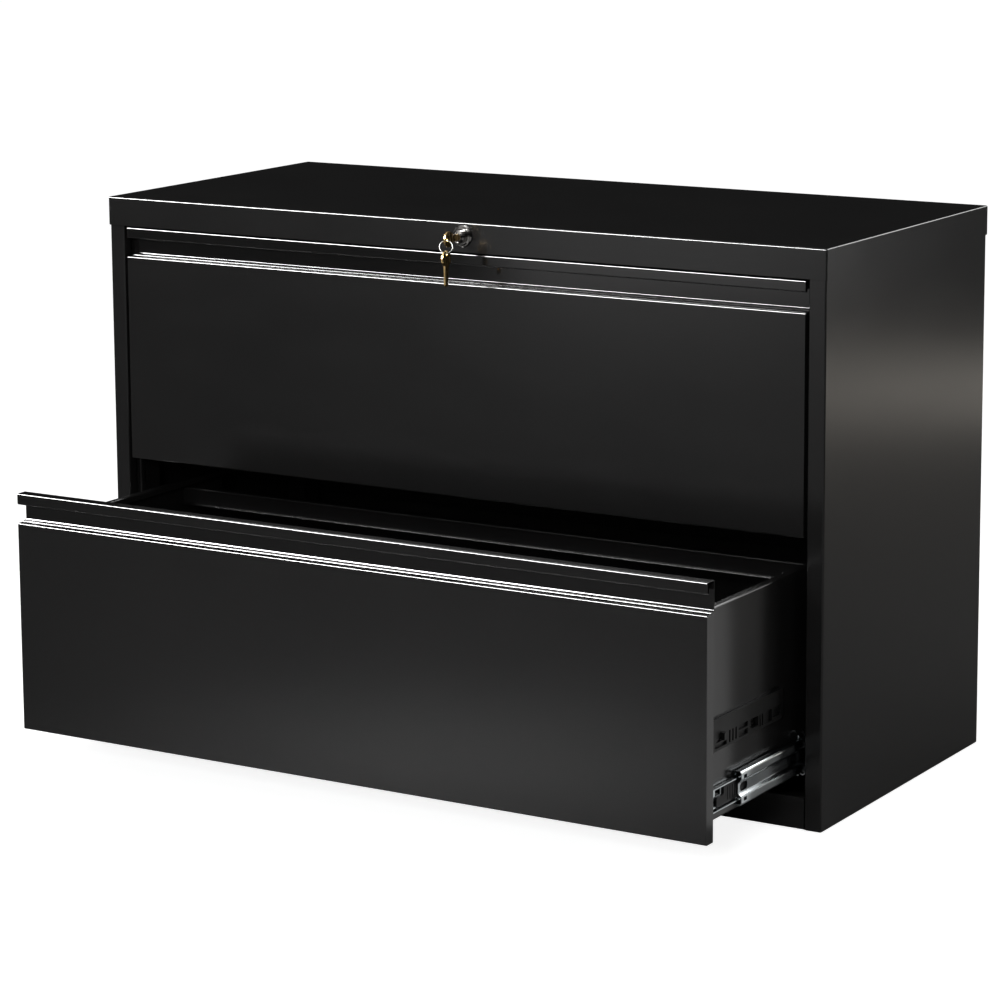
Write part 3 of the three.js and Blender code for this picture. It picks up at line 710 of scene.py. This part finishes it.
def studioWorld():
    look = studioLook
    world = bpy.data.worlds.new("studio")
    scene.world = world
    world.use_nodes = True
    nodes, links = world.node_tree.nodes, world.node_tree.links
    nodes.clear()
    out = nodes.new("ShaderNodeOutputWorld")
    path = nodes.new("ShaderNodeLightPath")
    soft = nodes.new("ShaderNodeBackground")
    soft.inputs["Strength"].default_value = look["ambient"]
    white = nodes.new("ShaderNodeBackground")
    white.inputs["Color"].default_value = (1, 1, 1, 1)
    mirror = nodes.new("ShaderNodeBackground")
    coords = nodes.new("ShaderNodeTexCoord")
    split = nodes.new("ShaderNodeSeparateXYZ")
    links.new(coords.outputs["Generated"], split.inputs["Vector"])
    rise = nodes.new("ShaderNodeMapRange")
    rise.interpolation_type = "SMOOTHSTEP"
    rise.inputs["From Min"].default_value = look["mirrorFrom"]
    rise.inputs["From Max"].default_value = 1.0
    rise.inputs["To Min"].default_value = look["mirrorLow"]
    rise.inputs["To Max"].default_value = look["mirrorHigh"]
    links.new(split.outputs["Z"], rise.inputs["Value"])
    links.new(rise.outputs["Result"], mirror.inputs["Strength"])
    inMirror = nodes.new("ShaderNodeMixShader")
    links.new(mirrorRay(nodes, links, path), inMirror.inputs["Fac"])
    links.new(soft.outputs["Background"], inMirror.inputs[1])
    links.new(mirror.outputs["Background"], inMirror.inputs[2])
    inView = nodes.new("ShaderNodeMixShader")
    links.new(path.outputs["Is Camera Ray"], inView.inputs["Fac"])
    links.new(inMirror.outputs["Shader"], inView.inputs[1])
    links.new(white.outputs["Background"], inView.inputs[2])
    links.new(inView.outputs["Shader"], out.inputs["Surface"])


def studioFloor():
    look = studioLook
    bm = bmesh.new()
    bmesh.ops.create_grid(bm, x_segments=4, y_segments=4, size=look["floorHalf"])
    floor = bpy.data.objects.new("floor", toMesh(bm, "floor"))
    scene.collection.objects.link(floor)
    material = bpy.data.materials.new("palePaper")
    material.use_nodes = True
    nodes, links = material.node_tree.nodes, material.node_tree.links
    nodes.clear()
    out = nodes.new("ShaderNodeOutputMaterial")
    paper = nodes.new("ShaderNodeBsdfDiffuse")
    paper.inputs["Color"].default_value = (look["floorColour"],) * 3 + (1,)
    dim = nodes.new("ShaderNodeBsdfDiffuse")
    dim.inputs["Color"].default_value = (look["floorInMirror"],) * 3 + (1,)
    glow = nodes.new("ShaderNodeEmission")
    path = nodes.new("ShaderNodeLightPath")
    level = nodes.new("ShaderNodeMath")
    level.operation = "MULTIPLY"
    level.inputs[1].default_value = look["floorGlow"]
    links.new(path.outputs["Is Camera Ray"], level.inputs[0])
    links.new(level.outputs["Value"], glow.inputs["Strength"])
    inMirror = nodes.new("ShaderNodeMixShader")
    links.new(mirrorRay(nodes, links, path), inMirror.inputs["Fac"])
    links.new(paper.outputs["BSDF"], inMirror.inputs[1])
    links.new(dim.outputs["BSDF"], inMirror.inputs[2])
    add = nodes.new("ShaderNodeAddShader")
    links.new(inMirror.outputs["Shader"], add.inputs[0])
    links.new(glow.outputs["Emission"], add.inputs[1])
    links.new(add.outputs["Shader"], out.inputs["Surface"])
    floor.data.materials.append(material)


def softLamp(name, place, aim, size, watts, gloss=True, diffuse=True, colour=(1, 1, 1), spread=180):
    data = bpy.data.lights.new(name, "AREA")
    data.spread = math.radians(spread)
    data.shape = "RECTANGLE"
    data.size, data.size_y = size
    data.energy = watts
    data.color = colour
    lamp = bpy.data.objects.new(name, data)
    lamp.location = place
    lamp.rotation_euler = (Vector(aim) - Vector(place)).to_track_quat("-Z", "Y").to_euler()
    lamp.visible_camera = False
    lamp.visible_glossy = gloss
    lamp.visible_diffuse = diffuse
    scene.collection.objects.link(lamp)


studioWorld()
studioFloor()
warm = (1.0, 0.93, 0.83)
# Lamps with gloss off only light surfaces, and cards with diffuse off only show in the paint and the metal
softLamp("overhead", (-0.1, -0.8, 2.6), (0, 0, 0.4), (1.8, 1.8), 30, gloss=False)
softLamp("eyeFill", (1.5, -4.1, 1.7), (0, 0, 0.35), (0.9, 0.9), 85, gloss=False)
softLamp("bendGlint", (-1.5, -1.97, 2.0), (-0.1, -0.3, 0.4), (2.2, 0.7), 560, diffuse=False)
softLamp("sideStrip", (1.75, 2.1, 0.10), (0.6, 0.1, 0.42), (1.6, 0.12), 0.64, diffuse=False, colour=warm)
softLamp("floorPool", (-0.02, -0.70, 1.1), (-0.02, -0.68, 0), (0.62, 0.2), 3.1, gloss=False, spread=50)
softLamp("rearPool", (1.9, 2.0, 1.2), (1.3, 1.2, 0), (0.5, 0.5), 8, gloss=False, colour=warm)
softLamp("lowCard", (-1.45, -3.4, 0.22), (0, 0, 0.7), (0.8, 0.3), 0.8, diffuse=False)
softLamp("drawerCard", (0.594, -0.215, 0.16), (0.49, -0.379, 0.206), (0.13, 0.27), 0.048, diffuse=False)
softLamp("slideCard", (1.3, 2.1, 1.75), (0.5, -0.2, 0.1), (1.5, 1.0), 24, diffuse=False)
softLamp("hookCard", (2.2, 2.2, 0.6), (0.5, -0.2, 0.1), (0.5, 0.6), 4.5, diffuse=False)
print("studio lit")


cameraLook = {
    "place": (2.3547, -3.8547, 1.2950), "turn": 0.5466, "tilt": 0.1743, "roll": -0.0059,
    "lens": 127.1, "sensor": 36, "shiftY": -0.12, "reach": 100,
}


def addCamera():
    look = cameraLook
    data = bpy.data.cameras.new("camera")
    data.lens = look["lens"]
    data.sensor_width = look["sensor"]
    data.shift_y = look["shiftY"]
    data.clip_end = look["reach"]
    camera = bpy.data.objects.new("camera", data)
    camera.matrix_world = (
        Matrix.Translation(look["place"]) @ Matrix.Rotation(look["turn"], 4, "Z")
        @ Matrix.Rotation(math.pi / 2 - look["tilt"], 4, "X") @ Matrix.Rotation(look["roll"], 4, "Z"))
    scene.collection.objects.link(camera)
    scene.camera = camera


addCamera()
scene.view_settings.view_transform = "Standard"
